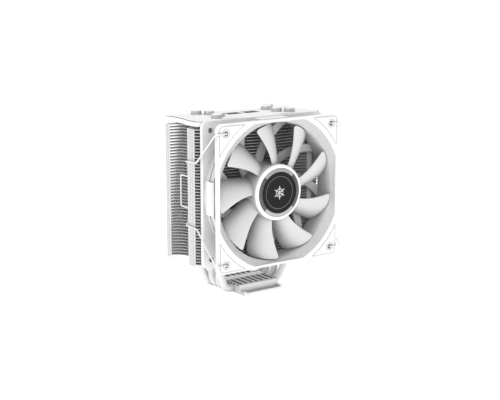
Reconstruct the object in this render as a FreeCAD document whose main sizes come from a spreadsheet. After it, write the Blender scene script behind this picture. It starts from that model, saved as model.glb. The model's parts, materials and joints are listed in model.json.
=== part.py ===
import FreeCAD, Part

import math
import os

import Sketcher

V = FreeCAD.Vector

# Tower cooler for a processor. Millimetres, +Z up, origin at the middle of the base's contact face,
# the fan faces -Y. Every driving dimension is a cell of the sheet below, bound by its alias.
DIMENSIONS = [
    # base block
    ("base_width", 40.0), ("base_half_length", 23.5), ("base_height", 7.5),
    ("ear_half_length", 29.7), ("ear_height", 3.0), ("ear_recess_depth", 1.0), ("ear_recess_width", 34.0),
    ("ear_screw_offset", 26.6), ("ear_screw_radius", 1.25),
    ("rib_count", 7), ("rib_pitch", 5.33), ("rib_slot_width", 2.1), ("rib_slot_floor", 6.3),
    ("rib_slot_start", 3.9), ("rib_slot_end", 20.5),
    ("notch_count", 4), ("notch_pitch", 4.4), ("notch_width", 1.5), ("notch_length", 2.0),
    ("notch_first", 6.2), ("notch_floor", 6.2),
    ("crossbar_width", 38.0), ("crossbar_depth", 7.0), ("crossbar_height", 0.5), ("crossbar_edge", 0.15),
    # heat pipes
    ("pipe_radius", 3.0), ("pipe_play", 0.05), ("pipe_top", 151.2), ("lane_pitch", 8.0),
    ("outer_pipe_x", 36.8), ("outer_pipe_y", 15.35), ("outer_foot_x", 27.0), ("outer_bend_top", 25.0),
    ("inner_pipe_x", 28.9), ("inner_pipe_y", 7.55), ("inner_bend_top", 27.0),
    ("outer_bend_radius", 7.6), ("inner_bend_radius", 8.9),
    ("cap_radius", 4.5), ("cap_height", 3.6), ("cap_depth", 2.7), ("cap_edge", 0.5),
    # fin stack
    ("fin_count", 45), ("fins_per_group", 3), ("fin_pitch", 2.5), ("fin_thickness", 0.4),
    ("fin_first", 31.6), ("fin_half_width", 62.0), ("fin_waist", 10.0), ("fin_back", 23.5),
    ("fin_front", 26.3), ("fin_front_corner", 24.2), ("fin_wave", 3.2), ("fin_back_wave", 3.0),
    ("tab_front_start", 21.0), ("tab_front_end", 10.5), ("tab_back_start", 16.5), ("tab_gap", 0.06),
    ("face_tab_inner", 47.6), ("face_tab_outer", 52.4),
    ("wave_inner", 8.0), ("wave_outer", 46.0), ("wave_corner", 57.0),
    ("cover_bottom", 144.6), ("cover_thickness", 4.0), ("cover_waist", 1.8), ("cover_edge", 0.6),
    ("slot_inner", 2.0), ("slot_outer", 15.5), ("slot_centre", 2.5), ("slot_half_depth", 4.5),
    # fan frame, measured from the middle of its front face
    ("fan_front", 51.5), ("fan_height", 89.0), ("fan_side", 120.0), ("fan_depth", 25.0),
    ("fan_corner", 5.0), ("fan_hole_spacing", 105.0), ("fan_hole_radius", 2.15),
    ("flange_front", 4.0), ("flange_back", 3.5), ("rim_width", 2.0),
    ("duct_radius", 57.0), ("barrel_radius", 59.2), ("inlet_radius", 63.0), ("inlet_depth", 4.5),
    ("outlet_radius", 59.0), ("outlet_depth", 2.6),
    ("rib_radius", 59.9), ("barrel_rib_width", 0.9), ("barrel_rib_one", 8.6), ("barrel_rib_two", 15.2),
    ("side_pad_half", 13.5), ("side_pad_start", 6.0), ("side_pad_end", 17.5),
    ("boss_radius", 4.0), ("boss_height", 0.4),
    ("motor_seat_radius", 22.5), ("motor_seat_start", 22.0), ("tube_radius", 5.0), ("tube_start", 9.2),
    ("strut_count", 9), ("strut_width", 6.6), ("strut_start", 21.9), ("strut_inner", 20.0),
    ("strut_outer", 60.0), ("strut_angle", 68.6), ("strut_sweep", 37.5), ("strut_arch", 5.1),
    ("tab_inner", 22.6), ("tab_outer", 27.6), ("tab_drop", 1.3), ("tab_start", 0.6),
    ("tab_length", 3.0), ("tab_taper", 0.6),
    ("pad_inset", 1.6), ("pad_arc_radius", 67.6), ("pad_corner", 3.4), ("pad_thickness", 0.35),
    ("pad_hole_radius", 4.45),
    # fan rotor
    ("blade_count", 9), ("blade_phase", -12.5), ("blade_tip_radius", 56.0), ("blade_blunt", 0.3),
    ("lead_tip_angle", 20.1), ("lead_tip_corner", 77.0), ("lead_tip_round", 2.6),
    ("trail_tip_angle", -4.4), ("trail_tip_corner", 118.0), ("trail_tip_round", 4.0),
    ("hub_radius", 23.0), ("hub_wall", 1.4), ("hub_shoulder", 1.8),
    ("hub_front", 0.8), ("hub_back", 20.5), ("hub_face", 2.0), ("hub_face_back", 3.4),
    ("hub_ring_radius", 20.3), ("hub_boss_radius", 4.0), ("hub_boss_back", 8.6),
    ("badge_radius", 17.1), ("badge_front", 0.4), ("badge_groove", 0.15),
    ("badge_line_radius", 13.3), ("badge_line_half", 0.3), ("bezel_gap", 0.1),
    ("yoke_outer", 21.5), ("yoke_inner", 20.7), ("yoke_start", 4.2), ("yoke_end", 19.6),
    ("magnet_inner", 18.2), ("magnet_start", 7.0), ("magnet_end", 18.6),
    # motor and bearing
    ("shaft_radius", 1.5), ("shaft_start", 5.0), ("shaft_end", 23.2), ("shaft_play", 0.04),
    ("sleeve_radius", 3.9), ("sleeve_start", 9.4), ("sleeve_end", 21.6),
    ("ring_start", 21.9), ("ring_end", 22.5), ("ring_radius", 2.7), ("cap_start", 23.8),
    ("stator_start", 9.8), ("stator_end", 16.6), ("stator_radius", 17.2), ("stator_core", 7.8),
    ("pole_width", 3.6), ("pole_shoe_start", 14.8), ("pole_shoe_half", 11.0),
    ("coil_inner", 8.4), ("coil_outer", 13.4), ("coil_half", 4.9), ("coil_rise", 1.5),
    ("coil_round", 0.9), ("coil_play", 0.1),
    ("board_radius", 16.8), ("board_start", 19.4), ("board_end", 20.6),
    # spring-wire clips
    ("wire_radius", 0.65), ("wire_bend", 1.6), ("wire_front", 1.45), ("hook_depth", 1.6),
    ("clip_side", 63.2), ("clip_knee_y", 26.0), ("clip_knee_z", 27.0), ("clip_back_y", 44.2),
    ("clip_groove_x", 59.4), ("clip_groove_y", 43.6), ("clip_grip_y", 55.5), ("clip_grip_z", 13.0),
    ("hook_bend", 1.1), ("clip_front_bend", 2.5), ("clip_knee_bend", 2.0),
]

doc = FreeCAD.newDocument("cpu_tower_cooler")
dims = doc.addObject("Spreadsheet::Sheet", "dims")
for line, (alias, value) in enumerate(DIMENSIONS, start=1):
    dims.set("A%d" % line, alias)
    dims.set("B%d" % line, str(value))
    dims.setAlias("B%d" % line, alias)
doc.recompute()

pieces = []


def size(name):
    """Value of one cell of the sheet."""
    return float(dims.get(name))


def number(expression):
    """Value of an expression in the sheet's aliases, such as 'dims.fan_side / 2'."""
    value = dims.evalExpression(str(expression))
    return float(getattr(value, "Value", value))


# ---------------------------------------------------------------- helpers for bodies and sketches

def new_body(name, at_fan=False):
    """A PartDesign body. At the fan, its own origin is the middle of the fan's front face."""
    body = doc.addObject("PartDesign::Body", name)
    body.Label = name
    if at_fan:
        body.setExpression("Placement.Base.y", "-dims.fan_front")
        body.setExpression("Placement.Base.z", "dims.fan_height")
    pieces.append(body)
    return body


def origin_feature(body, role):
    """The plane or axis of the body's own origin with this role."""
    return next(feature for feature in body.Origin.OriginFeatures if feature.Role == role)


def new_sketch(body, name, plane, offset="0"):
    """A sketch on one of the body's origin planes, moved along that plane's normal by offset."""
    sketch = body.newObject("Sketcher::SketchObject", name)
    sketch.AttachmentSupport = [(origin_feature(body, plane), "")]
    sketch.MapMode = "FlatFace"
    sketch.setExpression("AttachmentOffset.Base.z", str(offset))
    return sketch


def pin_point(sketch, edge, end, x, y):
    """Hold one end of an edge at the sheet's x and y."""
    for kind, expression in (("DistanceX", x), ("DistanceY", y)):
        index = sketch.addConstraint(Sketcher.Constraint(kind, edge, end, number(expression)))
        sketch.setExpression("Constraints[%d]" % index, str(expression))


def add_outline(sketch, points):
    """A closed outline. Each point is (x, y) or (x, y, bulge): with a bulge, the edge to the next
    point is an arc whose middle stands that far off to the right of the way."""
    edges = []
    for index, point in enumerate(points):
        following = points[(index + 1) % len(points)]
        start = V(number(point[0]), number(point[1]), 0)
        end = V(number(following[0]), number(following[1]), 0)
        if len(point) == 2:
            edge = sketch.addGeometry(Part.LineSegment(start, end), False)
            edges.append((edge, 1, 2))
            continue
        bulge = number(point[2])
        along = (end - start).normalize()
        middle = (start + end) * 0.5 + V(along.y, -along.x, 0) * bulge
        edge = sketch.addGeometry(Part.Arc(start, middle, end), False)
        first, last = sketch.getPoint(edge, 1), sketch.getPoint(edge, 2)
        forward = first.distanceToPoint(start) < last.distanceToPoint(start)
        edges.append((edge, 1, 2) if forward else (edge, 2, 1))
        chord = "((%s) - (%s))^2 + ((%s) - (%s))^2" % (following[0], point[0], following[1], point[1])
        radius = "(%s) / (8 * abs(%s)) + abs(%s) / 2" % (chord, point[2], point[2])
        index = sketch.addConstraint(Sketcher.Constraint("Radius", edge, number(radius)))
        sketch.setExpression("Constraints[%d]" % index, radius)
    for index, point in enumerate(points):
        edge, start_end, _ = edges[index]
        before, _, last_end = edges[index - 1]
        sketch.addConstraint(Sketcher.Constraint("Coincident", before, last_end, edge, start_end))
        pin_point(sketch, edge, start_end, point[0], point[1])


def add_rectangle(sketch, left, bottom, right, top):
    """A rectangle between two corners."""
    add_outline(sketch, [(left, bottom), (right, bottom), (right, top), (left, top)])


def add_circle(sketch, radius, x="0", y="0"):
    """A circle with its centre and radius held by the sheet."""
    circle = Part.Circle(V(number(x), number(y), 0), V(0, 0, 1), number(radius))
    edge = sketch.addGeometry(circle, False)
    index = sketch.addConstraint(Sketcher.Constraint("Radius", edge, number(radius)))
    sketch.setExpression("Constraints[%d]" % index, str(radius))
    pin_point(sketch, edge, 3, x, y)


def add_rounded_square(sketch, side, corner):
    """A square about the origin with round corners."""
    half = "(%s) / 2" % side
    short = "((%s) / 2 - (%s))" % (side, corner)
    bulge = "(%s) * 0.292893" % corner
    add_outline(sketch, [
        ("-" + short, "-" + half), (short, "-" + half, bulge),
        (half, "-" + short), (half, short, bulge),
        (short, half), ("-" + short, half, bulge),
        ("-" + half, short), ("-" + half, "-" + short, bulge),
    ])


def extrude(body, kind, name, sketch, length, backwards=False, through=False, centred=False):
    """A Pad or a Pocket of a sketch."""
    feature = body.newObject("PartDesign::" + kind, name)
    feature.Profile = sketch
    if through:
        feature.Type = "ThroughAll"
    else:
        feature.setExpression("Length", str(length))
    feature.Reversed = backwards
    feature.Midplane = centred
    return feature


def turn(body, kind, name, sketch, axis="Y_Axis"):
    """A full Revolution or Groove of a sketch about one of the body's origin axes."""
    feature = body.newObject("PartDesign::" + kind, name)
    feature.Profile = sketch
    feature.ReferenceAxis = (origin_feature(body, axis), [""])
    feature.Angle = 360
    return feature


def polar(body, name, feature, count, axis="Y_Axis"):
    """Repeat a feature round an axis of the body."""
    pattern = body.newObject("PartDesign::PolarPattern", name)
    pattern.Originals = [feature]
    pattern.Axis = (origin_feature(body, axis), [""])
    pattern.Angle = 360
    pattern.setExpression("Occurrences", str(count))
    body.Tip = pattern
    return pattern


def row(body, name, feature, axis, length, count):
    """Repeat a feature along an axis of the body."""
    pattern = body.newObject("PartDesign::LinearPattern", name)
    pattern.Originals = [feature]
    pattern.Direction = (origin_feature(body, axis), [""])
    pattern.setExpression("Length", length)
    pattern.Occurrences = int(count)
    body.Tip = pattern
    return pattern


def fan_depth_sketch(body, name, depth):
    """A sketch square to the fan's axis, this far behind the fan's front face."""
    return new_sketch(body, name, "XZ_Plane", "-(%s)" % depth)


def ring_profile(body, name, points):
    """A sketch of (depth, radius) points for a piece turned about the fan's axis."""
    sketch = new_sketch(body, name, "YZ_Plane")
    add_outline(sketch, points)
    return sketch


def turned_piece(name, points):
    """A whole piece turned about the fan's axis from (depth, radius) points."""
    body = new_body(name, at_fan=True)
    turn(body, "Revolution", name + "_turned", ring_profile(body, name + "_profile", points))
    return body


def tube_points(inner, outer, start, end):
    """The (depth, radius) rectangle of a plain tube."""
    return [(start, inner), (end, inner), (end, outer), (start, outer)]


def feature_piece(name, shape, at_fan=False):
    """A piece whose shape is worked out with Part's own functions."""
    piece = doc.addObject("Part::Feature", name)
    piece.Label = name
    piece.Shape = shape
    if at_fan:
        piece.Placement = FreeCAD.Placement(V(0, -size("fan_front"), size("fan_height")), FreeCAD.Rotation())
    pieces.append(piece)
    return piece


def round_run(start, end, rod_radius):
    """A straight round bar between two points."""
    return Part.makeCylinder(rod_radius, start.distanceToPoint(end), start, end - start)


def bent_rod(points, radii, rod_radius):
    """A round rod: straight runs, with a bend of the given radius at each inner point."""
    runs = []
    start = points[0]
    for before, corner, after, radius in zip(points, points[1:], points[2:], radii):
        inward = (before - corner).normalize()
        onward = (after - corner).normalize()
        half_angle = inward.getAngle(onward) / 2
        reach = radius / math.tan(half_angle)
        first = corner + inward * reach
        bisector = (inward + onward).normalize()
        centre = corner + bisector * (radius / math.sin(half_angle))
        circle = Part.Circle(first, inward, rod_radius)
        disc = Part.Face(Part.Wire([circle.toShape()]))
        axis = onward.cross(inward).normalize()
        bend = disc.revolve(centre, axis, 180 - math.degrees(2 * half_angle))
        runs.append(round_run(start, first, rod_radius))
        runs.append(bend)
        start = corner + onward * reach
    runs.append(round_run(start, points[-1], rod_radius))
    return runs[0].multiFuse(runs[1:])


# ---------------------------------------------------------------- base

def lane(index):
    """Y of a heat pipe's lane in the base, index 1 to 4 from front to back."""
    return "(%s - 2.5) * dims.lane_pitch" % index


def make_base_block():
    body = new_body("base_block")
    side = new_sketch(body, "base_side", "YZ_Plane")
    add_outline(side, [
        ("-dims.ear_half_length", "0"), ("dims.ear_half_length", "0"),
        ("dims.ear_half_length", "dims.ear_height"), ("dims.base_half_length", "dims.ear_height"),
        ("dims.base_half_length", "dims.base_height"), ("-dims.base_half_length", "dims.base_height"),
        ("-dims.base_half_length", "dims.ear_height"), ("-dims.ear_half_length", "dims.ear_height"),
    ])
    extrude(body, "Pad", "base_slab", side, "dims.base_width", centred=True)

    lanes = new_sketch(body, "lane_circles", "YZ_Plane")
    for index in range(1, 5):
        add_circle(lanes, "dims.pipe_radius + dims.pipe_play", lane(index), "dims.pipe_radius")
    extrude(body, "Pocket", "lanes", lanes, "dims.base_width + 2", centred=True)

    for name, sign in (("front", "-"), ("back", "")):
        recess = new_sketch(body, name + "_recess_outline", "XY_Plane", "dims.ear_height")
        add_rectangle(recess, "-dims.ear_recess_width / 2", sign + "(dims.base_half_length)",
                      "dims.ear_recess_width / 2", sign + "(dims.ear_half_length + 1)")
        extrude(body, "Pocket", name + "_recess", recess, "dims.ear_recess_depth")
        hole = new_sketch(body, name + "_screw_circle", "XY_Plane", "dims.ear_height")
        add_circle(hole, "dims.ear_screw_radius", "0", sign + "dims.ear_screw_offset")
        extrude(body, "Pocket", name + "_screw_hole", hole, "0", through=True)

    first_x = "-(dims.rib_count - 1) / 2 * dims.rib_pitch"
    for name, sign in (("front", "-"), ("back", "")):
        slot = new_sketch(body, name + "_slot_outline", "XY_Plane", "dims.base_height")
        add_rectangle(slot, first_x + " - dims.rib_slot_width / 2", sign + "dims.rib_slot_start",
                      first_x + " + dims.rib_slot_width / 2", sign + "dims.rib_slot_end")
        cut = extrude(body, "Pocket", name + "_slot", slot, "dims.base_height - dims.rib_slot_floor")
        row(body, name + "_slots", cut, "X_Axis", "(dims.rib_count - 1) * dims.rib_pitch", size("rib_count"))
    run = "(dims.notch_count - 1) * dims.notch_pitch"
    for side_name, sign in (("left", "-"), ("right", "")):
        inner = sign + "(dims.base_width / 2 - dims.notch_length)"
        outer = sign + "(dims.base_width / 2 + 1)"
        for end_name, first_y in (("front", "-dims.notch_first - " + run), ("back", "dims.notch_first")):
            name = "%s_%s_notch" % (side_name, end_name)
            notch = new_sketch(body, name + "_outline", "XY_Plane", "dims.base_height")
            add_rectangle(notch, inner, first_y + " - dims.notch_width / 2",
                          outer, first_y + " + dims.notch_width / 2")
            cut = extrude(body, "Pocket", name, notch, "dims.base_height - dims.notch_floor")
            row(body, name + "_row", cut, "Y_Axis", run, size("notch_count"))


def make_crossbar():
    bar = doc.addObject("Part::Box", "crossbar_blank")
    bar.setExpression("Length", "dims.crossbar_width")
    bar.setExpression("Width", "dims.crossbar_depth")
    bar.setExpression("Height", "dims.crossbar_height")
    bar.setExpression("Placement.Base.x", "-dims.crossbar_width / 2")
    bar.setExpression("Placement.Base.y", "-dims.crossbar_depth / 2")
    bar.setExpression("Placement.Base.z", "dims.base_height")
    doc.recompute()
    edged = doc.addObject("Part::Chamfer", "base_crossbar")
    edged.Label = "base_crossbar"
    edged.Base = bar
    top = size("base_height") + size("crossbar_height")
    bevel = size("crossbar_edge")
    edged.Edges = [(index, bevel, bevel) for index, edge in enumerate(bar.Shape.Edges, start=1)
                   if all(abs(vertex.Z - top) < 1e-6 for vertex in edge.Vertexes)]
    pieces.append(edged)


# ---------------------------------------------------------------- heat pipes

def pipe_places():
    """For each pipe, front to back: x and y of its upright legs."""
    outer = (size("outer_pipe_x"), size("outer_pipe_y"))
    inner = (size("inner_pipe_x"), size("inner_pipe_y"))
    return [(outer[0], -outer[1]), (inner[0], -inner[1]), (inner[0], inner[1]), (outer[0], outer[1])]


def make_heat_pipes():
    """Each pipe is one U: up through the fins, in under them, and flat along its lane in the base."""
    top = size("pipe_top")
    radius = size("pipe_radius")
    for index, (x, y) in enumerate(pipe_places(), start=1):
        outer = index in (1, 4)
        lane_y = (index - 2.5) * size("lane_pitch")
        foot_x = size("outer_foot_x") if outer else x
        knee_z = size("outer_bend_top") if outer else size("inner_bend_top")
        bend = size("outer_bend_radius") if outer else size("inner_bend_radius")
        leg = [V(x, y, top), V(x, y, knee_z), V(foot_x, lane_y, radius)]
        points = leg + [V(-point.x, point.y, point.z) for point in reversed(leg)]
        knee_bend = 2 * bend
        feature_piece("heat_pipe_%d" % index, bent_rod(points, [knee_bend, bend, bend, knee_bend], radius))


def make_pipe_caps():
    """A cup with a chamfered rim on each of the eight pipe ends, standing on the top cover."""
    floor_z = "dims.cover_bottom + dims.cover_thickness"
    places = [(sign * x, y) for x, y in pipe_places() for sign in (-1, 1)]
    for index, (x, y) in enumerate(places, start=1):
        name = "pipe_cap_%d" % index
        body = new_body(name)
        profile = new_sketch(body, name + "_profile", "XZ_Plane")
        bore = "dims.pipe_radius + dims.pipe_play"
        add_outline(profile, [
            (bore, "0"), ("dims.cap_radius", "0"), ("dims.cap_radius", "dims.cap_height - dims.cap_edge"),
            ("dims.cap_radius - dims.cap_edge", "dims.cap_height"), ("0", "dims.cap_height"),
            ("0", "dims.cap_depth"), (bore, "dims.cap_depth"),
        ])
        turn(body, "Revolution", name + "_turned", profile, "Z_Axis")
        body.Placement.Base = V(x, y, 0)
        body.setExpression("Placement.Base.z", floor_z)


# ---------------------------------------------------------------- fins and top cover

def mirrored(points):
    """A right-hand outline, listed from the front middle round to the back middle, with its mirror."""
    left = []
    for index in range(len(points) - 1, -1, -1):
        x, y = points[index][0], points[index][1]
        bulge = points[index - 1][2:] if index else ()
        left.append(("-(%s)" % x, y) + tuple(bulge))
    return points + left


def front_edge():
    """The wavy front edge of a fin, from the middle to the right-hand corner."""
    return [
        ("dims.wave_inner", "-dims.fin_front", "-dims.fin_wave"),
        ("dims.wave_outer", "-dims.fin_front"),
        ("dims.wave_corner", "-dims.fin_front"),
        ("dims.fin_half_width", "-dims.fin_front_corner"),
    ]


def back_edge():
    """The wavy back edge, from the right-hand corner to the middle."""
    return [
        ("dims.fin_half_width", "dims.fin_back"),
        ("dims.wave_outer", "dims.fin_back", "-dims.fin_back_wave"),
        ("dims.wave_inner", "dims.fin_back"),
    ]


def make_fin_master():
    """One fin: a wavy plate with a hollow arc in each side, eight pipe holes, and the strips beside
    the arcs and two short lengths of the front edge folded down."""
    body = doc.addObject("PartDesign::Body", "fin_master")
    outline = new_sketch(body, "fin_outline", "XY_Plane")
    waist = [
        ("dims.fin_half_width", "-dims.tab_front_end", "-dims.fin_waist"),
        ("dims.fin_half_width", "dims.tab_back_start"),
    ]
    add_outline(outline, mirrored(front_edge() + waist + back_edge()))
    extrude(body, "Pad", "fin_plate", outline, "dims.fin_thickness")
    holes = new_sketch(body, "fin_holes", "XY_Plane")
    for x, y in (("outer_pipe_x", "outer_pipe_y"), ("inner_pipe_x", "inner_pipe_y")):
        for sign_x in ("", "-"):
            for sign_y in ("", "-"):
                add_circle(holes, "dims.pipe_radius + dims.pipe_play",
                           "%sdims.%s" % (sign_x, x), "%sdims.%s" % (sign_y, y))
    doc.recompute()
    extrude(body, "Pocket", "fin_pierced", holes, "0", through=True, centred=True)
    doc.recompute()
    face = new_sketch(body, "face_tabs_outline", "XY_Plane")
    for left, right in (("dims.face_tab_inner", "dims.face_tab_outer"),
                        ("-dims.face_tab_outer", "-dims.face_tab_inner")):
        add_rectangle(face, left, "-dims.fin_front", right, "-dims.fin_front + dims.fin_thickness")
    drop = "dims.fin_pitch - dims.fin_thickness - dims.tab_gap"
    extrude(body, "Pad", "face_tabs", face, drop, backwards=True)
    for name, start, end in (("front_tabs", "-dims.tab_front_start", "-dims.tab_front_end"),
                             ("back_tabs", "dims.tab_back_start", "dims.fin_back")):
        tabs = new_sketch(body, name + "_outline", "XY_Plane")
        for outer, inner in (("dims.fin_half_width", "dims.fin_half_width - dims.fin_thickness"),
                             ("-dims.fin_half_width + dims.fin_thickness", "-dims.fin_half_width")):
            add_rectangle(tabs, inner, start, outer, end)
        extrude(body, "Pad", name, tabs, drop, backwards=True)
        doc.recompute()
    return body


def make_fins():
    """Fins stacked at an even pitch, three to a node."""
    fin = make_fin_master().Shape
    per_group = int(size("fins_per_group"))
    groups = int(size("fin_count")) // per_group
    for group in range(groups):
        stack = []
        for step in range(per_group):
            copy = fin.copy()
            level = group * per_group + step
            copy.translate(V(0, 0, size("fin_first") + level * size("fin_pitch")))
            stack.append(copy)
        feature_piece("fins_%02d" % (group + 1), Part.makeCompound(stack))


def make_top_cover():
    """A thick plate of the fins' outline with the pipe holes, two slots and a chamfered top edge."""
    body = new_body("top_cover")
    outline = new_sketch(body, "cover_outline", "XY_Plane", "dims.cover_bottom")
    side = [("dims.fin_half_width", "-dims.tab_front_end", "-dims.cover_waist")]
    add_outline(outline, mirrored(front_edge() + side + back_edge()))
    extrude(body, "Pad", "cover_plate", outline, "dims.cover_thickness")
    openings = new_sketch(body, "cover_openings", "XY_Plane", "dims.cover_bottom + dims.cover_thickness")
    for x, y in pipe_places():
        for sign in (-1, 1):
            add_circle(openings, "dims.pipe_radius + dims.pipe_play", str(sign * x), str(y))
    low = "dims.slot_centre - dims.slot_half_depth"
    high = "dims.slot_centre + dims.slot_half_depth"
    add_rectangle(openings, "dims.slot_inner", low, "dims.slot_outer", high)
    add_rectangle(openings, "-dims.slot_outer", low, "-dims.slot_inner", high)
    doc.recompute()
    plate = extrude(body, "Pocket", "cover_pierced", openings, "0", through=True)
    doc.recompute()
    top = size("cover_bottom") + size("cover_thickness")
    rim = [index for index, edge in enumerate(plate.Shape.Edges, start=1)
           if all(abs(vertex.Z - top) < 1e-6 for vertex in edge.Vertexes)]
    edge_break = body.newObject("PartDesign::Chamfer", "cover_edge")
    edge_break.Base = (plate, ["Edge%d" % index for index in rim])
    edge_break.setExpression("Size", "dims.cover_edge")


# ---------------------------------------------------------------- fan frame

def square_pad(body, name, depth, length):
    """A round-cornered square plate of the fan's own side, this deep in the fan."""
    outline = fan_depth_sketch(body, name + "_outline", depth)
    add_rounded_square(outline, "dims.fan_side", "dims.fan_corner")
    extrude(body, "Pad", name, outline, length, backwards=True)


def round_pad(body, name, depth, length, radius):
    """A disc about the fan's axis, this deep in the fan."""
    outline = fan_depth_sketch(body, name + "_outline", depth)
    add_circle(outline, radius)
    extrude(body, "Pad", name, outline, length, backwards=True)


def make_fan_frame():
    """Two square flanges joined by a round barrel, with the duct bored through it."""
    body = new_body("fan_frame", at_fan=True)
    square_pad(body, "front_flange", "0", "dims.flange_front")
    round_pad(body, "barrel", "0", "dims.fan_depth", "dims.barrel_radius")
    square_pad(body, "back_flange", "dims.fan_depth - dims.flange_back", "dims.flange_back")
    for name, depth in (("rib_one", "dims.barrel_rib_one"), ("rib_two", "dims.barrel_rib_two")):
        round_pad(body, name, depth, "dims.barrel_rib_width", "dims.rib_radius")
    side_pad = fan_depth_sketch(body, "side_pad_outline", "dims.side_pad_start")
    add_rectangle(side_pad, "dims.duct_radius", "-dims.side_pad_half",
                  "dims.fan_side / 2", "dims.side_pad_half")
    side_length = "dims.side_pad_end - dims.side_pad_start"
    pad = extrude(body, "Pad", "side_pad", side_pad, side_length, backwards=True)
    polar(body, "side_pads", pad, "4")

    duct = fan_depth_sketch(body, "duct_circle", "0")
    add_circle(duct, "dims.duct_radius")
    extrude(body, "Pocket", "duct", duct, "0", through=True)
    inlet = ring_profile(body, "inlet_profile", [
        ("-1", "dims.duct_radius - 1"), ("dims.inlet_depth", "dims.duct_radius - 1"),
        ("dims.inlet_depth", "dims.duct_radius"), ("0", "dims.inlet_radius"), ("-1", "dims.inlet_radius"),
    ])
    turn(body, "Groove", "inlet_cone", inlet)
    outlet = ring_profile(body, "outlet_profile", [
        ("dims.fan_depth - dims.outlet_depth", "dims.duct_radius"),
        ("dims.fan_depth + 1", "dims.duct_radius"), ("dims.fan_depth + 1", "dims.outlet_radius"),
        ("dims.fan_depth", "dims.outlet_radius"),
    ])
    turn(body, "Groove", "outlet_cone", outlet)
    rim = fan_depth_sketch(body, "rim_outline", "0")
    add_rounded_square(rim, "dims.fan_side", "dims.fan_corner")
    add_rounded_square(rim, "dims.fan_side - 2 * dims.rim_width", "dims.fan_corner - dims.rim_width")
    extrude(body, "Pad", "rim", rim, "dims.flange_front", backwards=True)

    boss = fan_depth_sketch(body, "boss_outline", "0")
    add_circle(boss, "dims.boss_radius", "dims.fan_hole_spacing / 2", "dims.fan_hole_spacing / 2")
    ring = extrude(body, "Pad", "boss", boss, "dims.boss_height")
    polar(body, "bosses", ring, "4")
    hole = fan_depth_sketch(body, "screw_circle", "-1")
    add_circle(hole, "dims.fan_hole_radius", "dims.fan_hole_spacing / 2", "dims.fan_hole_spacing / 2")
    drilled = extrude(body, "Pocket", "screw_hole", hole, "dims.fan_depth + 2")
    polar(body, "screw_holes", drilled, "4")

    tab = fan_depth_sketch(body, "cable_tab_outline", "dims.tab_start")
    inside = "-dims.fan_side / 2 + 0.5"
    below = "-dims.fan_side / 2 - dims.tab_drop"
    add_outline(tab, [
        ("-dims.tab_inner", inside), ("-dims.tab_outer", inside),
        ("-dims.tab_outer + dims.tab_taper", below), ("-dims.tab_inner - dims.tab_taper", below),
    ])
    extrude(body, "Pad", "cable_tab", tab, "dims.tab_length", backwards=True)


def make_motor_bracket():
    """The motor's seat with its bearing tube, and the curved arms that hold it in the fan's outlet."""
    body = new_body("motor_bracket", at_fan=True)
    round_pad(body, "motor_seat", "dims.motor_seat_start", "dims.fan_depth - dims.motor_seat_start",
              "dims.motor_seat_radius")
    round_pad(body, "bearing_tube", "dims.tube_start", "dims.motor_seat_start - dims.tube_start + 1",
              "dims.tube_radius")
    bore = fan_depth_sketch(body, "bearing_bore_circle", "dims.tube_start - 1")
    add_circle(bore, "dims.sleeve_radius + 0.02")
    extrude(body, "Pocket", "bearing_bore", bore, "0", through=True)

    strut = fan_depth_sketch(body, "strut_outline", "dims.strut_start")
    tip = math.radians(size("strut_angle"))
    root = math.radians(size("strut_angle") + size("strut_sweep"))
    start = V(math.cos(root), math.sin(root), 0) * size("strut_inner")
    end = V(math.cos(tip), math.sin(tip), 0) * size("strut_outer")
    run = (end - start).normalize()
    across = V(-run.y, run.x, 0) * (size("strut_width") / 2)
    near_start, near_end = start - across, end - across
    far_end, far_start = end + across, start + across
    add_outline(strut, [
        (near_start.x, near_start.y, "-dims.strut_arch"), (near_end.x, near_end.y),
        (far_end.x, far_end.y, "dims.strut_arch"), (far_start.x, far_start.y),
    ])
    arm = extrude(body, "Pad", "strut", strut, "dims.fan_depth - dims.strut_start", backwards=True)
    polar(body, "struts", arm, "dims.strut_count")
    wall_start = "dims.strut_start - 1"
    wall = ring_profile(body, "duct_wall_profile", [
        (wall_start, "dims.duct_radius"), ("dims.fan_depth - dims.outlet_depth", "dims.duct_radius"),
        ("dims.fan_depth", "dims.outlet_radius"), ("dims.fan_depth + 1", "dims.outlet_radius"),
        ("dims.fan_depth + 1", "dims.fan_side"), (wall_start, "dims.fan_side"),
    ])
    turn(body, "Groove", "duct_wall", wall)


def make_corner_pads():
    """Thin face pads in the four corners of the frame, each with a round hole about its screw boss."""
    half = "(dims.fan_side / 2 - dims.pad_inset)"
    reach = "sqrt(dims.pad_arc_radius^2 - %s^2)" % half
    chord_half = "((%s - %s) / sqrt(2))" % (half, reach)
    arc_bulge = "(dims.pad_arc_radius - sqrt(dims.pad_arc_radius^2 - %s^2))" % chord_half
    for index in range(4):
        name = "corner_pad_%d" % (index + 1)
        body = new_body(name, at_fan=True)
        outline = fan_depth_sketch(body, name + "_outline", "0")
        add_outline(outline, [
            (half, reach), (half, "%s - dims.pad_corner" % half, "dims.pad_corner * 0.292893"),
            ("%s - dims.pad_corner" % half, half), (reach, half, "-%s" % arc_bulge),
        ])
        add_circle(outline, "dims.pad_hole_radius", "dims.fan_hole_spacing / 2", "dims.fan_hole_spacing / 2")
        extrude(body, "Pad", name + "_plate", outline, "dims.pad_thickness")
        body.Placement.Rotation = FreeCAD.Rotation(V(0, 1, 0), 90.0 * index)


# ---------------------------------------------------------------- fan rotor

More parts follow.
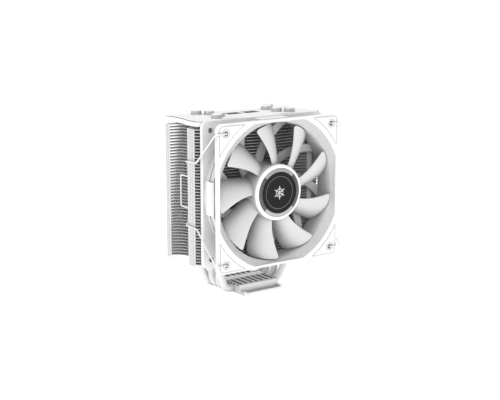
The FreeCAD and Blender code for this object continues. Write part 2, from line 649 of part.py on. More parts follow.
def blade_section(body, name, radius, lead_angle, trail_angle, lead_depth, trail_depth, bulge, thick):
    """A thin arched section square to the blade's length, at this radius."""
    blunt = size("blade_blunt")
    lead = V(lead_depth, radius * math.tan(math.radians(lead_angle)), 0)
    trail = V(trail_depth, radius * math.tan(math.radians(trail_angle)), 0)
    along = (trail - lead).normalize()
    side = V(along.y, -along.x, 0) * blunt
    corners = [lead + side, trail + side, trail - side, lead - side]
    sketch = new_sketch(body, name, "YZ_Plane", str(radius))
    front = [("%.4f" % point.x, "%.4f" % point.y) for point in corners]
    add_outline(sketch, [
        front[0] + ("%.4f" % (bulge + thick / 2 - blunt),), front[1],
        front[2] + ("%.4f" % (-(bulge - thick / 2 + blunt)),), front[3],
    ])
    return sketch


def make_impeller():
    """The hub, a cup open to the back, with blades lofted through five arched sections."""
    body = new_body("impeller", at_fan=True)
    inner = "dims.hub_radius - dims.hub_wall"
    hub = ring_profile(body, "hub_profile", [
        ("dims.hub_face", "0"), ("dims.hub_face", "dims.hub_ring_radius"),
        ("dims.hub_front", "dims.hub_ring_radius"),
        ("dims.hub_front", "dims.hub_radius - dims.hub_shoulder", "-dims.hub_shoulder * 0.292893"),
        ("dims.hub_front + dims.hub_shoulder", "dims.hub_radius"), ("dims.hub_back", "dims.hub_radius"),
        ("dims.hub_back", inner), ("dims.hub_face_back", inner),
        ("dims.hub_face_back", "dims.hub_boss_radius"), ("dims.hub_boss_back", "dims.hub_boss_radius"),
        ("dims.hub_boss_back", "dims.shaft_radius"), ("dims.shaft_start", "dims.shaft_radius"),
        ("dims.shaft_start", "0"),
    ])
    turn(body, "Revolution", "hub", hub)
    # distance from the axis, angles of the leading and trailing edge, their depths, arch, thickness
    stations = [
        (20.4, 8.0, -24.5, 5.2, 17.0, 2.0, 2.0),
        (30.0, 9.5, -16.5, 4.7, 17.0, 2.4, 1.8),
        (41.0, 14.5, -11.0, 4.2, 16.6, 3.0, 1.6),
        (49.0, 18.3, -8.0, 3.8, 16.2, 3.3, 1.45),
        (57.5, 21.5, -3.5, 3.6, 15.6, 3.5, 1.3),
    ]
    sections = [blade_section(body, "blade_section_%d" % index, *station)
                for index, station in enumerate(stations, start=1)]
    doc.recompute()
    blade = body.newObject("PartDesign::AdditiveLoft", "blade")
    blade.Profile = sections[0]
    blade.Sections = sections[1:]
    blade.Ruled = False
    doc.recompute()
    corners = fan_depth_sketch(body, "tip_corner_outlines", "0")
    for edge, side in (("lead", 1), ("trail", -1)):
        add_corner_cut(corners, size(edge + "_tip_angle"), side, size(edge + "_tip_corner"),
                       size(edge + "_tip_round"))
    cut = extrude(body, "Pocket", "tip_corners", corners, "dims.fan_depth")
    doc.recompute()
    pattern = polar(body, "blades", blade, "dims.blade_count")
    pattern.Originals = [blade, cut]
    trim = ring_profile(body, "tip_trim_profile", tube_points("dims.blade_tip_radius", "70", "-2", "27"))
    turn(body, "Groove", "tip_trim", trim)
    hollow = ring_profile(body, "hub_hollow_profile", tube_points(
        "dims.hub_boss_radius", inner, "dims.hub_face_back", "dims.hub_back + 1"))
    turn(body, "Groove", "hub_hollow", hollow)
    body.Placement.Rotation = FreeCAD.Rotation(V(0, 1, 0), size("blade_phase"))


def add_corner_cut(sketch, angle, side, corner_angle, rounding):
    """What a rounded blade corner leaves off. The corner is at this angle on the tip circle, with the
    blade on the clockwise side (1) or the other side (-1), and corner_angle between its two edges."""
    radial = V(math.cos(math.radians(angle)), math.sin(math.radians(angle)), 0)
    outward = V(-radial.y, radial.x, 0) * side
    corner = radial * size("blade_tip_radius")
    half = math.radians(corner_angle / 2)
    reach = rounding / math.tan(half)
    lean = math.radians(90.0 - corner_angle)
    on_edge = corner - (radial * math.cos(lean) + outward * math.sin(lean)) * reach
    on_tip = corner - outward * reach
    bulge = rounding * (1 - math.sin(half)) * side
    margin = 3.0
    add_outline(sketch, [
        (on_edge.x, on_edge.y), tuple((on_edge + outward * margin))[:2],
        tuple(corner + (outward + radial) * margin)[:2], tuple(on_tip + radial * margin)[:2],
        (on_tip.x, on_tip.y, bulge),
    ])


def make_rotor_pieces():
    bezel_inner = "dims.badge_radius + dims.bezel_gap / 2"
    bezel_outer = "dims.hub_ring_radius - dims.bezel_gap"
    turned_piece("hub_bezel", [
        ("dims.hub_face", bezel_inner), ("dims.badge_front", bezel_inner),
        ("dims.hub_front + dims.badge_groove", bezel_outer), ("dims.hub_face", bezel_outer),
    ])
    line_inner = "dims.badge_line_radius - dims.badge_line_half"
    line_outer = "dims.badge_line_radius + dims.badge_line_half"
    line_floor = "dims.badge_front + dims.badge_groove"
    turned_piece("hub_badge", [
        ("dims.hub_face", "0"), ("dims.badge_front", "0"), ("dims.badge_front", line_inner),
        (line_floor, line_inner), (line_floor, line_outer), ("dims.badge_front", line_outer),
        ("dims.badge_front", "dims.badge_radius"), ("dims.hub_face", "dims.badge_radius"),
    ])
    turned_piece("rotor_yoke", tube_points("dims.yoke_inner", "dims.yoke_outer",
                                           "dims.yoke_start", "dims.yoke_end"))
    turned_piece("magnet_ring", tube_points("dims.magnet_inner", "dims.yoke_inner - 0.05",
                                            "dims.magnet_start", "dims.magnet_end"))
    turned_piece("rotor_shaft", [
        ("dims.shaft_start", "0"), ("dims.shaft_start", "dims.shaft_radius"),
        ("dims.shaft_end", "dims.shaft_radius"), ("dims.shaft_end", "0"),
    ])
    turned_piece("retaining_ring", tube_points("dims.shaft_radius", "dims.ring_radius",
                                               "dims.ring_start", "dims.ring_end"))


# ---------------------------------------------------------------- motor

def make_motor_pieces():
    turned_piece("bearing_sleeve", tube_points("dims.shaft_radius + dims.shaft_play", "dims.sleeve_radius",
                                               "dims.sleeve_start", "dims.sleeve_end"))
    turned_piece("bearing_cap", [
        ("dims.cap_start", "0"), ("dims.cap_start", "dims.sleeve_radius"),
        ("dims.fan_depth", "dims.sleeve_radius"), ("dims.fan_depth", "0"),
    ])
    turned_piece("circuit_board", tube_points("dims.tube_radius + 0.1", "dims.board_radius",
                                              "dims.board_start", "dims.board_end"))

    core = new_body("stator_core", at_fan=True)
    turn(core, "Revolution", "core_hub", ring_profile(core, "core_hub_profile", tube_points(
        "dims.tube_radius + 0.05", "dims.stator_core", "dims.stator_start", "dims.stator_end")))
    length = "dims.stator_end - dims.stator_start"
    pole = fan_depth_sketch(core, "pole_outline", "dims.stator_start")
    shoe_rise = "(dims.stator_radius - sqrt(dims.stator_radius^2 - dims.pole_shoe_half^2))"
    add_outline(pole, [
        ("dims.stator_core - 0.6", "-dims.pole_width / 2"), ("dims.pole_shoe_start", "-dims.pole_width / 2"),
        ("dims.stator_radius - %s - 1" % shoe_rise, "-dims.pole_shoe_half"),
        ("dims.stator_radius - %s" % shoe_rise, "-dims.pole_shoe_half", shoe_rise),
        ("dims.stator_radius - %s" % shoe_rise, "dims.pole_shoe_half"),
        ("dims.stator_radius - %s - 1" % shoe_rise, "dims.pole_shoe_half"),
        ("dims.pole_shoe_start", "dims.pole_width / 2"), ("dims.stator_core - 0.6", "dims.pole_width / 2"),
    ])
    tooth = extrude(core, "Pad", "pole", pole, length, backwards=True)
    polar(core, "poles", tooth, "4")

    coil_length = size("stator_end") - size("stator_start") + 2 * size("coil_rise")
    reach = size("coil_outer") - size("coil_inner")
    half = size("coil_half")
    window = size("pole_width") / 2 + size("coil_play")
    bundle = Part.makeBox(reach, coil_length, 2 * half,
                          V(size("coil_inner"), size("stator_start") - size("coil_rise"), -half))
    radial = [edge for edge in bundle.Edges if abs(edge.tangentAt(edge.FirstParameter).x) > 0.9]
    bundle = bundle.makeFillet(size("coil_round"), radial)
    gap_start = size("stator_start") - size("coil_play")
    gap_end = size("stator_end") + size("coil_play")
    opening = Part.makeBox(reach + 2, gap_end - gap_start, 2 * window,
                           V(size("coil_inner") - 1, gap_start, -window))
    coil = bundle.cut(opening)
    coils = []
    for index in range(4):
        turned = coil.copy()
        turned.rotate(V(0, 0, 0), V(0, 1, 0), 90.0 * index)
        coils.append(turned)
    feature_piece("stator_coils", Part.makeCompound(coils), at_fan=True)


# ---------------------------------------------------------------- clips

def make_clips():
    """Spring wires: a hook in each front hole, round the side of the fan, into the groove behind the
    fins' front strip, and a grip loop between the two halves. Each is symmetric about the fan's middle."""
    hole = size("fan_hole_spacing") / 2
    front = -size("wire_front")
    side = size("clip_side")
    for name, sign in (("clip_left", -1), ("clip_right", 1)):
        upper = [
            V(sign * hole, size("hook_depth"), hole),
            V(sign * hole, front, hole),
            V(sign * side, front, hole),
            V(sign * side, size("clip_knee_y"), size("clip_knee_z")),
            V(sign * side, size("clip_back_y") - 2.5, size("clip_knee_z") - 0.8),
            V(sign * size("clip_groove_x"), size("clip_groove_y") + 0.8, size("clip_knee_z") - 3),
            V(sign * size("clip_groove_x"), size("clip_groove_y"), size("clip_grip_z")),
            V(sign * size("clip_groove_x"), size("clip_grip_y"), size("clip_grip_z")),
        ]
        lower = [V(point.x, point.y, -point.z) for point in reversed(upper)]
        bend = size("wire_bend")
        radii = [size("hook_bend"), bend, size("clip_front_bend"), size("clip_knee_bend"), bend, bend, bend]
        points = upper + lower
        wire = bent_rod(points, radii + radii[::-1], size("wire_radius"))
        feature_piece(name, wire, at_fan=True)


# ---------------------------------------------------------------- build, check and write

make_base_block()
make_crossbar()
make_heat_pipes()
make_pipe_caps()
make_fins()
make_top_cover()
make_fan_frame()
make_motor_bracket()
make_corner_pads()
make_impeller()
make_rotor_pieces()
make_motor_pieces()
make_clips()
doc.recompute()

for item in doc.Objects:
    if "Invalid" in item.State or "Error" in item.State:
        raise RuntimeError("object failed: %s %s" % (item.Name, item.State))
for piece in pieces:
    if piece.Shape.isNull() or not piece.Shape.isValid():
        raise RuntimeError("bad shape: %s" % piece.Label)

os.makedirs("parts", exist_ok=True)
for piece in pieces:
    piece.Shape.exportStep("parts/%s.step" % piece.Label)
    box = piece.Shape.BoundBox
    print("%-16s solids %d  volume %9.1f  x %.2f %.2f  y %.2f %.2f  z %.2f %.2f" % (
        piece.Label, len(piece.Shape.Solids), piece.Shape.Volume,
        box.XMin, box.XMax, box.YMin, box.YMax, box.ZMin, box.ZMax))
print("pieces:", len(pieces))
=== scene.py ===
import json
import math
from collections import namedtuple

import bmesh
import bpy
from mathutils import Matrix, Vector


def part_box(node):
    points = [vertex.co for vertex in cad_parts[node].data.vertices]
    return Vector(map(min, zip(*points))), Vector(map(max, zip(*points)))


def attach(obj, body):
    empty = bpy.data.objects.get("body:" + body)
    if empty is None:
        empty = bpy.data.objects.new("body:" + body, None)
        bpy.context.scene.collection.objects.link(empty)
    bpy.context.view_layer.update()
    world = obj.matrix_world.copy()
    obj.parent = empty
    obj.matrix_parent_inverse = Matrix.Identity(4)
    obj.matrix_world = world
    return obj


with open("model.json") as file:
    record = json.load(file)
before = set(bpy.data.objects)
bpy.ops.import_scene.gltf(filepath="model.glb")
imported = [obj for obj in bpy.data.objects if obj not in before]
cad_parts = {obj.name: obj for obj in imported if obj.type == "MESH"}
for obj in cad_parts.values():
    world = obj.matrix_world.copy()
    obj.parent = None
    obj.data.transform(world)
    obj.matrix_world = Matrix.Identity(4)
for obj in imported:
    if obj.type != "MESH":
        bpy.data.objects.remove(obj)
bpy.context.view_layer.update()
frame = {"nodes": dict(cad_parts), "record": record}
nodes = frame["nodes"]


# ---------------------------------------------------------------- places and sizes, in millimetres

MM = 0.001


def corners_of(node):
    """The lowest and highest corners of a CAD node at rest, in millimetres."""
    return [[round(value / MM, 3) for value in corner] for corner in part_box(node)]


# The fan: its back is next to the fins, and its axis runs along Y, half a side below its top.
FAN_DEPTH = 25.0
frame_high = corners_of("fan_frame")[1]
FAN_HALF = frame_high[0]
FAN_FRONT = frame_high[1] - FAN_DEPTH
FAN_HEIGHT = frame_high[2] - FAN_HALF
HOLE_OUT = 52.5
DUCT_RADIUS, BARREL_RADIUS = 57.0, 59.2
INLET_RADIUS, INLET_DEPTH = 63.0, 4.5
PAD_FACE = 0.35

# The fins: equal nodes of three fins each.
FIN_NODES = ["fins_%02d" % index for index in range(1, 16)]
FINS_PER_NODE = 3
FIN_COUNT = FINS_PER_NODE * len(FIN_NODES)
FIN_THICKNESS = 0.4
first_top, last_top = (corners_of(name)[1][2] for name in (FIN_NODES[0], FIN_NODES[-1]))
FIN_HALF = corners_of(FIN_NODES[0])[1][0]
FIN_PITCH = (last_top - first_top) / (FIN_COUNT - FINS_PER_NODE)
FIN_FIRST = first_top - (FINS_PER_NODE - 1) * FIN_PITCH - FIN_THICKNESS


# ---------------------------------------------------------------- materials

class Nodes:
    """A short way to add and join shader nodes in one material."""

    def __init__(self, name):
        self.material = bpy.data.materials.new(name)
        self.material.use_nodes = True
        self.tree = self.material.node_tree
        self.shader = self.tree.nodes["Principled BSDF"]
        self.coords = self.tree.nodes.new("ShaderNodeTexCoord")

    def join(self, socket, value):
        """Link a socket to another node's output, or set it to a plain value."""
        if isinstance(value, bpy.types.NodeSocket):
            self.tree.links.new(value, socket)
        else:
            socket.default_value = value

    def add(self, kind, **inputs):
        node = self.tree.nodes.new("ShaderNode" + kind)
        for key, value in inputs.items():
            self.join(node.inputs[key], value)
        return node

    def shade(self, key, value):
        self.join(self.shader.inputs[key], value)

    def noise(self, scale, detail):
        vector = self.coords.outputs["Object"]
        return self.add("TexNoise", Vector=vector, Scale=scale, Detail=detail).outputs["Fac"]

    def crevice(self, distance):
        """1 in the open, falling towards 0 in narrow gaps and inner corners."""
        node = self.add("AmbientOcclusion", Distance=distance)
        node.samples = 8
        return node.outputs["AO"]

    def spread(self, value, low, high, start=0.3, end=0.7):
        """A value between start and end, stretched to run from low to high."""
        node = self.tree.nodes.new("ShaderNodeMapRange")
        limits = {"Value": value, "From Min": start, "From Max": end, "To Min": low, "To Max": high}
        for key, item in limits.items():
            self.join(node.inputs[key], item)
        return node.outputs[0]

    def mix(self, factor, first, second):
        node = self.tree.nodes.new("ShaderNodeMix")
        node.data_type = "RGBA"
        for index, item in ((0, factor), (6, first), (7, second)):
            self.join(node.inputs[index], item)
        return node.outputs[2]


def grey(value):
    return (value, value, value, 1.0)


def coated(name, tone, shade_tone, rough=(0.36, 0.5), gap=0.006, metallic=0.0):
    """Powder coat, plastic or metal: a fine grain, patchy tone and gloss, and painted shade that darkens
    the colour in the gaps.
    """
    patch_scale, patch_dip = 55.0, 0.965
    gloss_scale = 140.0
    grain_scale, grain_height, grain_strength = 900.0, 0.00003, 0.35
    n = Nodes(name)
    patches = n.spread(n.noise(patch_scale, 3.0), 0.0, 1.0)
    unshaded = n.mix(patches, grey(tone), grey(tone * patch_dip))
    # Painted shade: the colour falls to the shade tone where ambient occlusion finds a narrow gap.
    gap_shade = n.spread(n.crevice(gap), 1.0, 0.0, 0.25, 0.85)
    n.shade("Base Color", n.mix(gap_shade, unshaded, grey(shade_tone)))
    n.shade("Roughness", n.spread(n.noise(gloss_scale, 4.0), *rough))
    n.shade("Metallic", metallic)
    grain = n.noise(grain_scale, 3.0)
    bump = n.add("Bump", Strength=grain_strength, Distance=grain_height, Height=grain)
    n.shade("Normal", bump.outputs[0])
    return n.material


# Heat sink
fin_coat = coated("fin_coat", 0.78, 0.54, gap=0.008)
# Painted shade: darker copies of the fin coat, for the strips' outer faces and for the fin edges in the
# hollow arc.
fin_strip_painted_shade = coated("fin_strip_painted_shade", 0.66, 0.5, gap=0.001)
fin_edge_painted_shade = coated("fin_edge_painted_shade", 0.56, 0.5, gap=0.002)
# Painted shade: a grey for the boxes that stand in the fin slits.
slit_painted_shade = coated("slit_painted_shade", 0.4, 0.3)
cover_coat = coated("cover_coat", 0.92, 0.6)
# Painted shade: a dark copy of the coat for the cover's chamfer.
chamfer_painted_shade = coated("chamfer_painted_shade", 0.3, 0.2, rough=(0.3, 0.4), metallic=0.4)
pipe_coat = coated("pipe_coat", 0.8, 0.4)
cap_top = coated("cap_top", 0.9, 0.5, rough=(0.25, 0.4))
cap_side = coated("cap_side", 0.57, 0.36, rough=(0.3, 0.45), metallic=0.3)
base_metal = coated("base_metal", 0.6, 0.4, rough=(0.3, 0.45), gap=0.003, metallic=0.2)
# Painted light: a lighter copy of the base's finish for its front and back faces.
base_face_painted_light = coated("base_face_painted_light", 0.85, 0.75, rough=(0.3, 0.45), gap=0.003, metallic=0.1)
recess_grey = coated("recess_grey", 0.36, 0.3, rough=(0.5, 0.7), gap=0.001)
# Painted shade: a dark grey for the walls of the cover's slot and of the base's grooves.
slot_painted_shade = coated("slot_painted_shade", 0.17, 0.08, rough=(0.5, 0.7))
crossbar_coat = coated("crossbar_coat", 1.0, 0.95)

# Fan frame, bracket and clips
frame_plastic = coated("frame_plastic", 0.86, 0.34, gap=0.03)
# The bracket's own tone, also put on the fan's back flange as painted light.
bracket_plastic_and_flange_light = coated("bracket_plastic_and_flange_light", 0.9, 0.62, gap=0.03)
# Painted shade: a darker copy of the frame plastic for the barrel between the ribs.
barrel_painted_shade = coated("barrel_painted_shade", 0.66, 0.36, gap=0.01)
# Painted shade: darker copies of the frame plastic for the inlet cone and its ridges.
inlet_painted_shade = coated("inlet_painted_shade", 0.5, 0.36, gap=0.004)
rib_painted_shade = coated("rib_painted_shade", 0.7, 0.5, gap=0.002)
pad_rubber = coated("pad_rubber", 0.88, 0.6, rough=(0.6, 0.75))
# Painted shade: a dark grey for the gaps round the pads and bosses and beside the barrel's ribs.
gap_painted_shade = coated("gap_painted_shade", 0.3, 0.25)
wire_coat = coated("wire_coat", 0.8, 0.6, rough=(0.25, 0.35))

# Blades and hub
blade_plastic = coated("blade_plastic", 0.67, 0.28, rough=(0.3, 0.4), gap=0.03)
# Painted light: a whiter copy of the blade plastic for the hub's rim.
rim_painted_light = coated("rim_painted_light", 0.95, 0.6, rough=(0.25, 0.35), gap=0.004)
# Painted reflection: light upper and lower quarters on the dark bezel.
bezel_painted_reflection = coated("bezel_painted_reflection", 0.42, 0.3, rough=(0.2, 0.3), metallic=0.4)
bezel_dark = coated("bezel_dark", 0.1, 0.06, rough=(0.2, 0.3), metallic=0.4)
badge_gloss = coated("badge_gloss", 0.014, 0.012, rough=(0.55, 0.7))
badge_ring = coated("badge_ring", 0.16, 0.12)
badge_mark = coated("badge_mark", 0.85, 0.7)
for material in (badge_gloss, badge_ring):
    material.node_tree.nodes["Principled BSDF"].inputs["Specular IOR Level"].default_value = 0.15

# Inside the motor
steel = coated("steel", 0.5, 0.2, metallic=0.9)
dark_magnet = coated("dark_magnet", 0.03, 0.02)
bronze = coated("bronze", 0.3, 0.2, metallic=0.9)
board_green = coated("board_green", 0.08, 0.04)
copper = coated("copper", 0.35, 0.2, metallic=0.9)

SLOT_LOOKS = {
    "base_metal": base_metal, "coated_aluminium": crossbar_coat, "coated_pipe": pipe_coat,
    "cap_metal": cap_top, "coated_fins": fin_coat, "cover_coat": cover_coat,
    "fan_plastic": frame_plastic, "pad_rubber": pad_rubber, "blade_plastic": blade_plastic,
    "bezel_plastic": bezel_dark, "badge_plastic": badge_gloss, "motor_steel": steel,
    "magnet": dark_magnet, "bearing_bronze": bronze, "board": board_green,
    "copper_wire": copper, "clip_wire": wire_coat,
}
NODE_LOOKS = {"motor_bracket": bracket_plastic_and_flange_light}
for part in frame["record"]["subparts"]:
    mesh = nodes[part["node"]].data
    mesh.materials.clear()
    mesh.materials.append(NODE_LOOKS.get(part["node"], SLOT_LOOKS[part["material_slot"]]))


# ---------------------------------------------------------------- second colours on some faces, mostly painted light and shade

# A face's centre, its distance from the fan's axis, its depth behind the fan's front, and its normal.
Spot = namedtuple("Spot", "x y z radius depth normal")


def paint(name, material, test):
    """Give a second material to the faces of a CAD node whose spot passes the test."""
    mesh = nodes[name].data
    mesh.materials.append(material)
    for face in mesh.polygons:
        x, y, z = face.center / MM
        spot = Spot(x, y, z, math.hypot(x, z - FAN_HEIGHT), y - FAN_FRONT, face.normal)
        if test(spot):
            face.material_index = len(mesh.materials) - 1


def is_cover_slot(spot):
    return abs(spot.normal.z) < 0.1 and abs(spot.x) < 16.0 and -2.5 < spot.y < 7.5


def is_inlet(spot):
    inside = DUCT_RADIUS - 0.1 < spot.radius < INLET_RADIUS + 0.1
    return inside and spot.normal.y < -0.5 and spot.depth > 0.1


def is_barrel(spot):
    return abs(spot.normal.y) < 0.1 and BARREL_RADIUS - 0.3 < spot.radius < BARREL_RADIUS + 0.15


def is_back_flange(spot):
    return abs(spot.normal.y) > 0.9 and spot.depth > 20.0 and spot.radius > 59.0


def is_rib_flank(spot):
    between_flanges = 8.0 < spot.depth < 17.0
    return abs(spot.normal.y) > 0.9 and between_flanges and BARREL_RADIUS < spot.radius < 60.0


def is_fin_skin(spot):
    """The outer faces of the folded strips."""
    return abs(spot.normal.x) > 0.9 and abs(spot.x) > FIN_HALF - 0.1


def is_fin_arc(spot):
    """The thin edges in the hollow arc between the two strips."""
    return abs(spot.normal.z) < 0.3 and abs(spot.x) > 50.0 and -10.4 < spot.y < 16.4


def is_hub_rim(spot):
    return spot.depth < 2.7 and 19.5 < spot.radius < 23.2


def is_upright_quarter(spot):
    """The upper and lower quarters of a ring round the fan's axis."""
    return abs(spot.z - FAN_HEIGHT) > abs(spot.x)


def is_badge_line(spot):
    return 12.9 < spot.radius < 13.7 and spot.depth < 0.6


def is_base_face(spot):
    return abs(spot.normal.y) > 0.9 and abs(spot.y) > 23.0


def is_base_slot(spot):
    return 6.2 < spot.z < 7.45 and abs(spot.x) < 19.9 and 3.8 < abs(spot.y) < 20.6


# Painted shade on the cover's chamfer.
paint("top_cover", chamfer_painted_shade, lambda spot: 0.4 < spot.normal.z < 0.95)
# Painted shade on the walls of the cover's slot.
paint("top_cover", slot_painted_shade, is_cover_slot)
for index in range(1, 9):
    paint("pipe_cap_%d" % index, cap_side, lambda spot: spot.normal.z < 0.3)
# Painted shade on the inlet cone.
paint("fan_frame", inlet_painted_shade, is_inlet)
# Painted shade on the barrel's outer face.
paint("fan_frame", barrel_painted_shade, is_barrel)
# Painted light: the back flange gets the lighter bracket tone.
paint("fan_frame", bracket_plastic_and_flange_light, is_back_flange)
# Painted shade on the flanks of the barrel's ribs.
paint("fan_frame", gap_painted_shade, is_rib_flank)
# Painted shade on the fins' outer strips and on their edges in the hollow arc.
for name in FIN_NODES:
    paint(name, fin_strip_painted_shade, is_fin_skin)
    paint(name, fin_edge_painted_shade, is_fin_arc)
# Painted light on the hub's rim.
paint("impeller", rim_painted_light, is_hub_rim)
# Painted reflection on the bezel's upper and lower quarters.
paint("hub_bezel", bezel_painted_reflection, is_upright_quarter)
paint("hub_badge", badge_ring, is_badge_line)
# Painted light on the base's front and back faces.
paint("base_block", base_face_painted_light, is_base_face)
# Painted shade on the walls of the base's grooves.
paint("base_block", slot_painted_shade, is_base_slot)


# ---------------------------------------------------------------- detail pieces

def add_piece(name, shape, material, body="heatsink", bevel=0.0):
    """A new piece from a bmesh in millimetres, riding on a CAD body."""
    for vertex in shape.verts:
        vertex.co *= MM
    bmesh.ops.recalc_face_normals(shape, faces=shape.faces)
    mesh = bpy.data.meshes.new(name)
    shape.to_mesh(mesh)
    shape.free()
    piece = bpy.data.objects.new(name, mesh)
    bpy.context.scene.collection.objects.link(piece)
    mesh.materials.append(material)
    if bevel:
        edges = piece.modifiers.new("edges", "BEVEL")
        edges.width = bevel * MM
        edges.segments = 2
    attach(piece, body)


def add_block(shape, low, high):
    """A box between two corners."""
    corners = [shape.verts.new((x, y, z))
               for x in (low[0], high[0]) for y in (low[1], high[1]) for z in (low[2], high[2])]
    for ring in ((0, 1, 3, 2), (4, 5, 7, 6), (0, 1, 5, 4), (2, 3, 7, 6), (0, 2, 6, 4), (1, 3, 7, 5)):
        shape.faces.new([corners[index] for index in ring])


def add_turned(shape, profile, place, steps=32):
    """A ring turned from a closed profile of (radius, height); place() puts it where it belongs."""
    turns = [2 * math.pi * step / steps for step in range(steps)]
    loops = [[shape.verts.new(place(radius * math.cos(turn), radius * math.sin(turn), height))
              for turn in turns] for radius, height in profile]
    for lower, upper in zip(loops, loops[1:] + loops[:1]):
        for step in range(steps):
            after = (step + 1) % steps
            shape.faces.new((lower[step], lower[after], upper[after], upper[step]))


def at_fan(radius, angle, depth):
    """A point in the fan's own terms: distance from its axis, angle from +X, depth behind its front."""
    return Vector((radius * math.cos(angle), FAN_FRONT + depth, FAN_HEIGHT + radius * math.sin(angle)))


def add_inlet_ribs(count=270):
    """Fine radial ridges on the inlet's cone, up to its mouth or to the frame's straight rim."""
    inner, mouth, rim = DUCT_RADIUS + 0.25, INLET_RADIUS - 0.25, FAN_HALF - 2.1
    shortest, half_width = 0.5, 0.3
    cone_slope = INLET_DEPTH / (INLET_RADIUS - DUCT_RADIUS)
    crest_in, crest_forward = 0.13, 0.17
    ridges = bmesh.new()
    for index in range(count):
        angle = 2 * math.pi * index / count
        outer = min(mouth, rim / max(abs(math.cos(angle)), abs(math.sin(angle))))
        if outer < inner + shortest:
            continue
        rows = []
        for radius in (inner, outer):
            depth = cone_slope * (INLET_RADIUS - radius)
            half = half_width / radius
            rows.append([ridges.verts.new(at_fan(radius, angle - half, depth)),
                         ridges.verts.new(at_fan(radius - crest_in, angle, depth - crest_forward)),
                         ridges.verts.new(at_fan(radius, angle + half, depth))])
        near, far = rows
        ridges.faces.new((near[0], near[1], far[1], far[0]))
        ridges.faces.new((near[1], near[2], far[2], far[1]))
        ridges.faces.new(near)
        ridges.faces.new(far)
    # The ridges take the painted-shade copy of the frame plastic.
    add_piece("inlet_ribs", ridges, rib_painted_shade)


def add_pad_shade_lines(width=0.3, proud=0.02):
    """Painted shade in the gap round the edge of each corner pad and round its hole, as a thin grey border.
    """
    for index in range(1, 5):
        shade_sheet = bmesh.new()
        shade_sheet.from_mesh(nodes["corner_pad_%d" % index].data)
        behind = [face for face in shade_sheet.faces if face.normal.y > -0.9]
        bmesh.ops.delete(shade_sheet, geom=behind, context="FACES")
        bmesh.ops.remove_doubles(shade_sheet, verts=shade_sheet.verts, dist=0.01 * MM)
        middle = list(shade_sheet.faces)
        bmesh.ops.inset_region(shade_sheet, faces=middle, thickness=width * MM,
                               use_even_offset=True, use_boundary=True)
        bmesh.ops.delete(shade_sheet, geom=middle, context="FACES")
        for vertex in shade_sheet.verts:
            vertex.co.y -= proud * MM
            vertex.co /= MM
        add_piece("pad_shade_line_%d" % index, shade_sheet, gap_painted_shade)


def add_boss_collars():
    """A thin collar over the edge of each screw boss, with a grey ring of painted shade along its inner
    edge.
    """
    inner, outer, face = 3.4, 4.85, PAD_FACE + 0.08
    shade_inner, shade_outer, shade_face = 3.1, 3.5, face + 0.01
    inner_foot, outer_foot = 0.38, 0.3
    collars, shade_rings = bmesh.new(), bmesh.new()
    for side in (-HOLE_OUT, HOLE_OUT):
        for level in (FAN_HEIGHT - HOLE_OUT, FAN_HEIGHT + HOLE_OUT):
            def place(across, along, forward):
                return (side + across, FAN_FRONT - forward, level + along)
            add_turned(collars, ((inner, inner_foot), (outer, outer_foot), (outer, face), (inner, face)),
                       place)
            add_turned(shade_rings, ((shade_inner, inner_foot), (shade_outer, inner_foot),
                                (shade_outer, shade_face), (shade_inner, shade_face)), place)
    add_piece("boss_collars", collars, pad_rubber)
    add_piece("boss_shade_rings", shade_rings, gap_painted_shade)


def add_side_pad_shade_lines(half_length=13.2, width=0.3):
    """Thin grey lines of painted shade down the flat pads on the fan's left and right, two in front and one
    behind.
    """
    line_depths = (6.9, 8.6, 16.2)
    sunk, proud = 0.2, 0.03
    lines = bmesh.new()
    for side in (-1, 1):
        near, far = sorted((side * (FAN_HALF - sunk), side * (FAN_HALF + proud)))
        for depth in line_depths:
            add_block(lines, (near, FAN_FRONT + depth, FAN_HEIGHT - half_length),
                      (far, FAN_FRONT + depth + width, FAN_HEIGHT + half_length))
    add_piece("side_pad_shade_lines", lines, gap_painted_shade)


def add_interlocks():
    """Each folded edge of a fin hooks through a slit in the next: a dark box of painted shade in each slit,
    with a small tongue in it.
    """
    front_strip, back_strip = (-16.2, 2.3), (20.4, 1.7)
    below_fin, slit_height = 0.5, 0.95
    slit_in, slit_out = 0.3, 0.04
    tongue_in, tongue_out, tongue_share = 0.2, 0.14, 0.5
    tongue_bottom, tongue_top = 0.8, 0.2
    slits, tongues = bmesh.new(), bmesh.new()
    for side in (-1, 1):
        skin = side * FIN_HALF
        for middle, half in (front_strip, back_strip):
            for level in range(FIN_COUNT):
                top = FIN_FIRST + level * FIN_PITCH - below_fin
                add_block(slits, (skin - side * slit_in, middle - half, top - slit_height),
                          (skin + side * slit_out, middle + half, top))
                reach = half * tongue_share
                add_block(tongues, (skin - side * tongue_in, middle - reach, top - tongue_bottom),
                          (skin + side * tongue_out, middle + reach, top - tongue_top))
    add_piece("fin_slits", slits, slit_painted_shade)
    add_piece("fin_tongues", tongues, fin_coat, bevel=0.05)


def add_ear_inlays():
    """A dark pad in each ear's recess, with a bright ring round the screw hole."""
    screw_out, start, end = 26.6, 23.7, 29.5
    half_length, window = 16.8, 1.9
    floor, top = 1.9, 2.12
    ring_profile = ((1.27, 1.95), (1.27, 2.3), (2.2, 2.3), (2.4, 2.1), (2.4, 1.95))
    inlays, rings = bmesh.new(), bmesh.new()
    for side in (-1, 1):
        near, far = sorted((side * start, side * end))
        for left, right in ((-half_length, -window), (window, half_length)):
            add_block(inlays, (left, near, floor), (right, far, top))
        screw = side * screw_out
        for low, high in ((near, screw - window), (screw + window, far)):
            add_block(inlays, (-window, low, floor), (window, high, top))
        add_turned(rings, ring_profile, lambda across, along, height: (across, screw + along, height))
    add_piece("ear_inlays", inlays, recess_grey, bevel=0.04)
    add_piece("screw_rings", rings, steel)


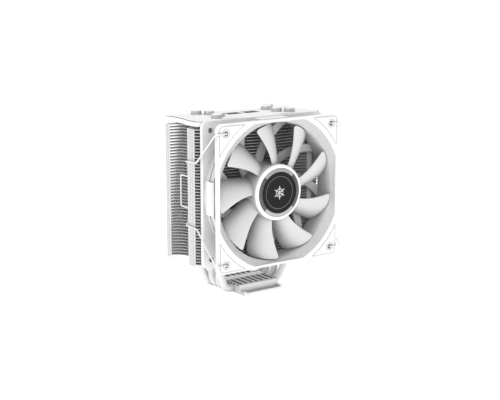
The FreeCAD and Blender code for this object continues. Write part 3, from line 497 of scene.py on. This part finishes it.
def add_snowflake(reach=5.4, width=0.62):
    """A plain six-armed snowflake on the hub's disc, with two pairs of branches on each arm."""
    front, back = FAN_FRONT + 0.26, FAN_FRONT + 0.42
    branch_roots, branch_lean = (0.45, 0.72), 55
    branch_end, branch_share = 0.85, 0.75
    flake = bmesh.new()

    def bar(start, end):
        along = Vector((end[0] - start[0], end[1] - start[1])).normalized()
        across = Vector((-along.y, along.x)) * (width / 2)
        outline = [(start[0] + across.x, start[1] + across.y), (end[0] + across.x, end[1] + across.y),
                   (end[0] - across.x, end[1] - across.y), (start[0] - across.x, start[1] - across.y)]
        low = [flake.verts.new((x, front, FAN_HEIGHT + z)) for x, z in outline]
        high = [flake.verts.new((x, back, FAN_HEIGHT + z)) for x, z in outline]
        flake.faces.new(low)
        flake.faces.new(high)
        for index in range(4):
            after = (index + 1) % 4
            flake.faces.new((low[index], low[after], high[after], high[index]))

    for arm in range(6):
        angle = math.radians(90 + 60 * arm)
        tip = (reach * math.cos(angle), reach * math.sin(angle))
        bar((0.0, 0.0), tip)
        for share in branch_roots:
            root = (tip[0] * share, tip[1] * share)
            for turn in (-branch_lean, branch_lean):
                lean = angle + math.radians(turn)
                length = reach * (branch_end - share) * branch_share
                bar(root, (root[0] + length * math.cos(lean), root[1] + length * math.sin(lean)))
    add_piece("hub_snowflake", flake, badge_mark, body="rotor")


def soften(name, width):
    """Weld a CAD node's split faces and break its sharp edges, so that they catch the light."""
    weld = nodes[name].modifiers.new("weld", "WELD")
    weld.merge_threshold = 0.002 * MM
    edges = nodes[name].modifiers.new("edges", "BEVEL")
    edges.width = width * MM
    edges.segments = 2
    edges.limit_method = "ANGLE"
    edges.angle_limit = math.radians(35)
    edges.harden_normals = True


add_inlet_ribs()
add_pad_shade_lines()
add_boss_collars()
add_side_pad_shade_lines()
add_interlocks()
add_ear_inlays()
add_snowflake()
soften("fan_frame", 0.25)
soften("base_block", 0.12)
soften("base_crossbar", 0.1)


# ---------------------------------------------------------------- floor, light and camera

def make_floor():
    bpy.ops.mesh.primitive_plane_add(size=60.0, location=(0.0, 0.0, -0.2 * MM))
    floor = bpy.context.object
    floor.name = "studio_floor"
    n = Nodes("studio_floor")
    n.shade("Base Color", grey(0.9))
    n.shade("Roughness", 0.9)
    n.shade("Emission Color", grey(1.0))
    n.shade("Emission Strength", 0.6)
    floor.data.materials.append(n.material)


def make_world():
    world = bpy.data.worlds.new("studio")
    bpy.context.scene.world = world
    world.use_nodes = True
    background = world.node_tree.nodes["Background"]
    background.inputs["Color"].default_value = grey(1.0)
    background.inputs["Strength"].default_value = 0.6


def area_light(name, place, size, power):
    """A round soft light that looks at the middle of the cooler."""
    target = Vector((0.0, -0.03, 0.08))
    data = bpy.data.lights.new(name, "AREA")
    data.shape = "DISK"
    data.size = size
    data.energy = power
    light = bpy.data.objects.new(name, data)
    bpy.context.scene.collection.objects.link(light)
    light.location = place
    light.rotation_euler = (target - Vector(place)).to_track_quat("-Z", "Y").to_euler()


def make_camera():
    data = bpy.data.cameras.new("camera")
    data.sensor_width = 36.0
    data.lens = 78.15
    camera = bpy.data.objects.new("camera", data)
    bpy.context.scene.collection.objects.link(camera)
    camera.location = (-0.51697, -0.73964, 0.26446)
    camera.rotation_euler = (math.radians(78.09), 0.0, math.radians(-35.31))
    bpy.context.scene.camera = camera


make_floor()
make_world()
area_light("key", (-0.75, -1.3, 0.9), 0.9, 5.6)
area_light("top", (0.1, 0.1, 1.4), 1.2, 7.5)
area_light("left", (-1.4, -0.1, 0.5), 0.9, 2.4)
make_camera()
bpy.context.scene.view_settings.view_transform = "Standard"
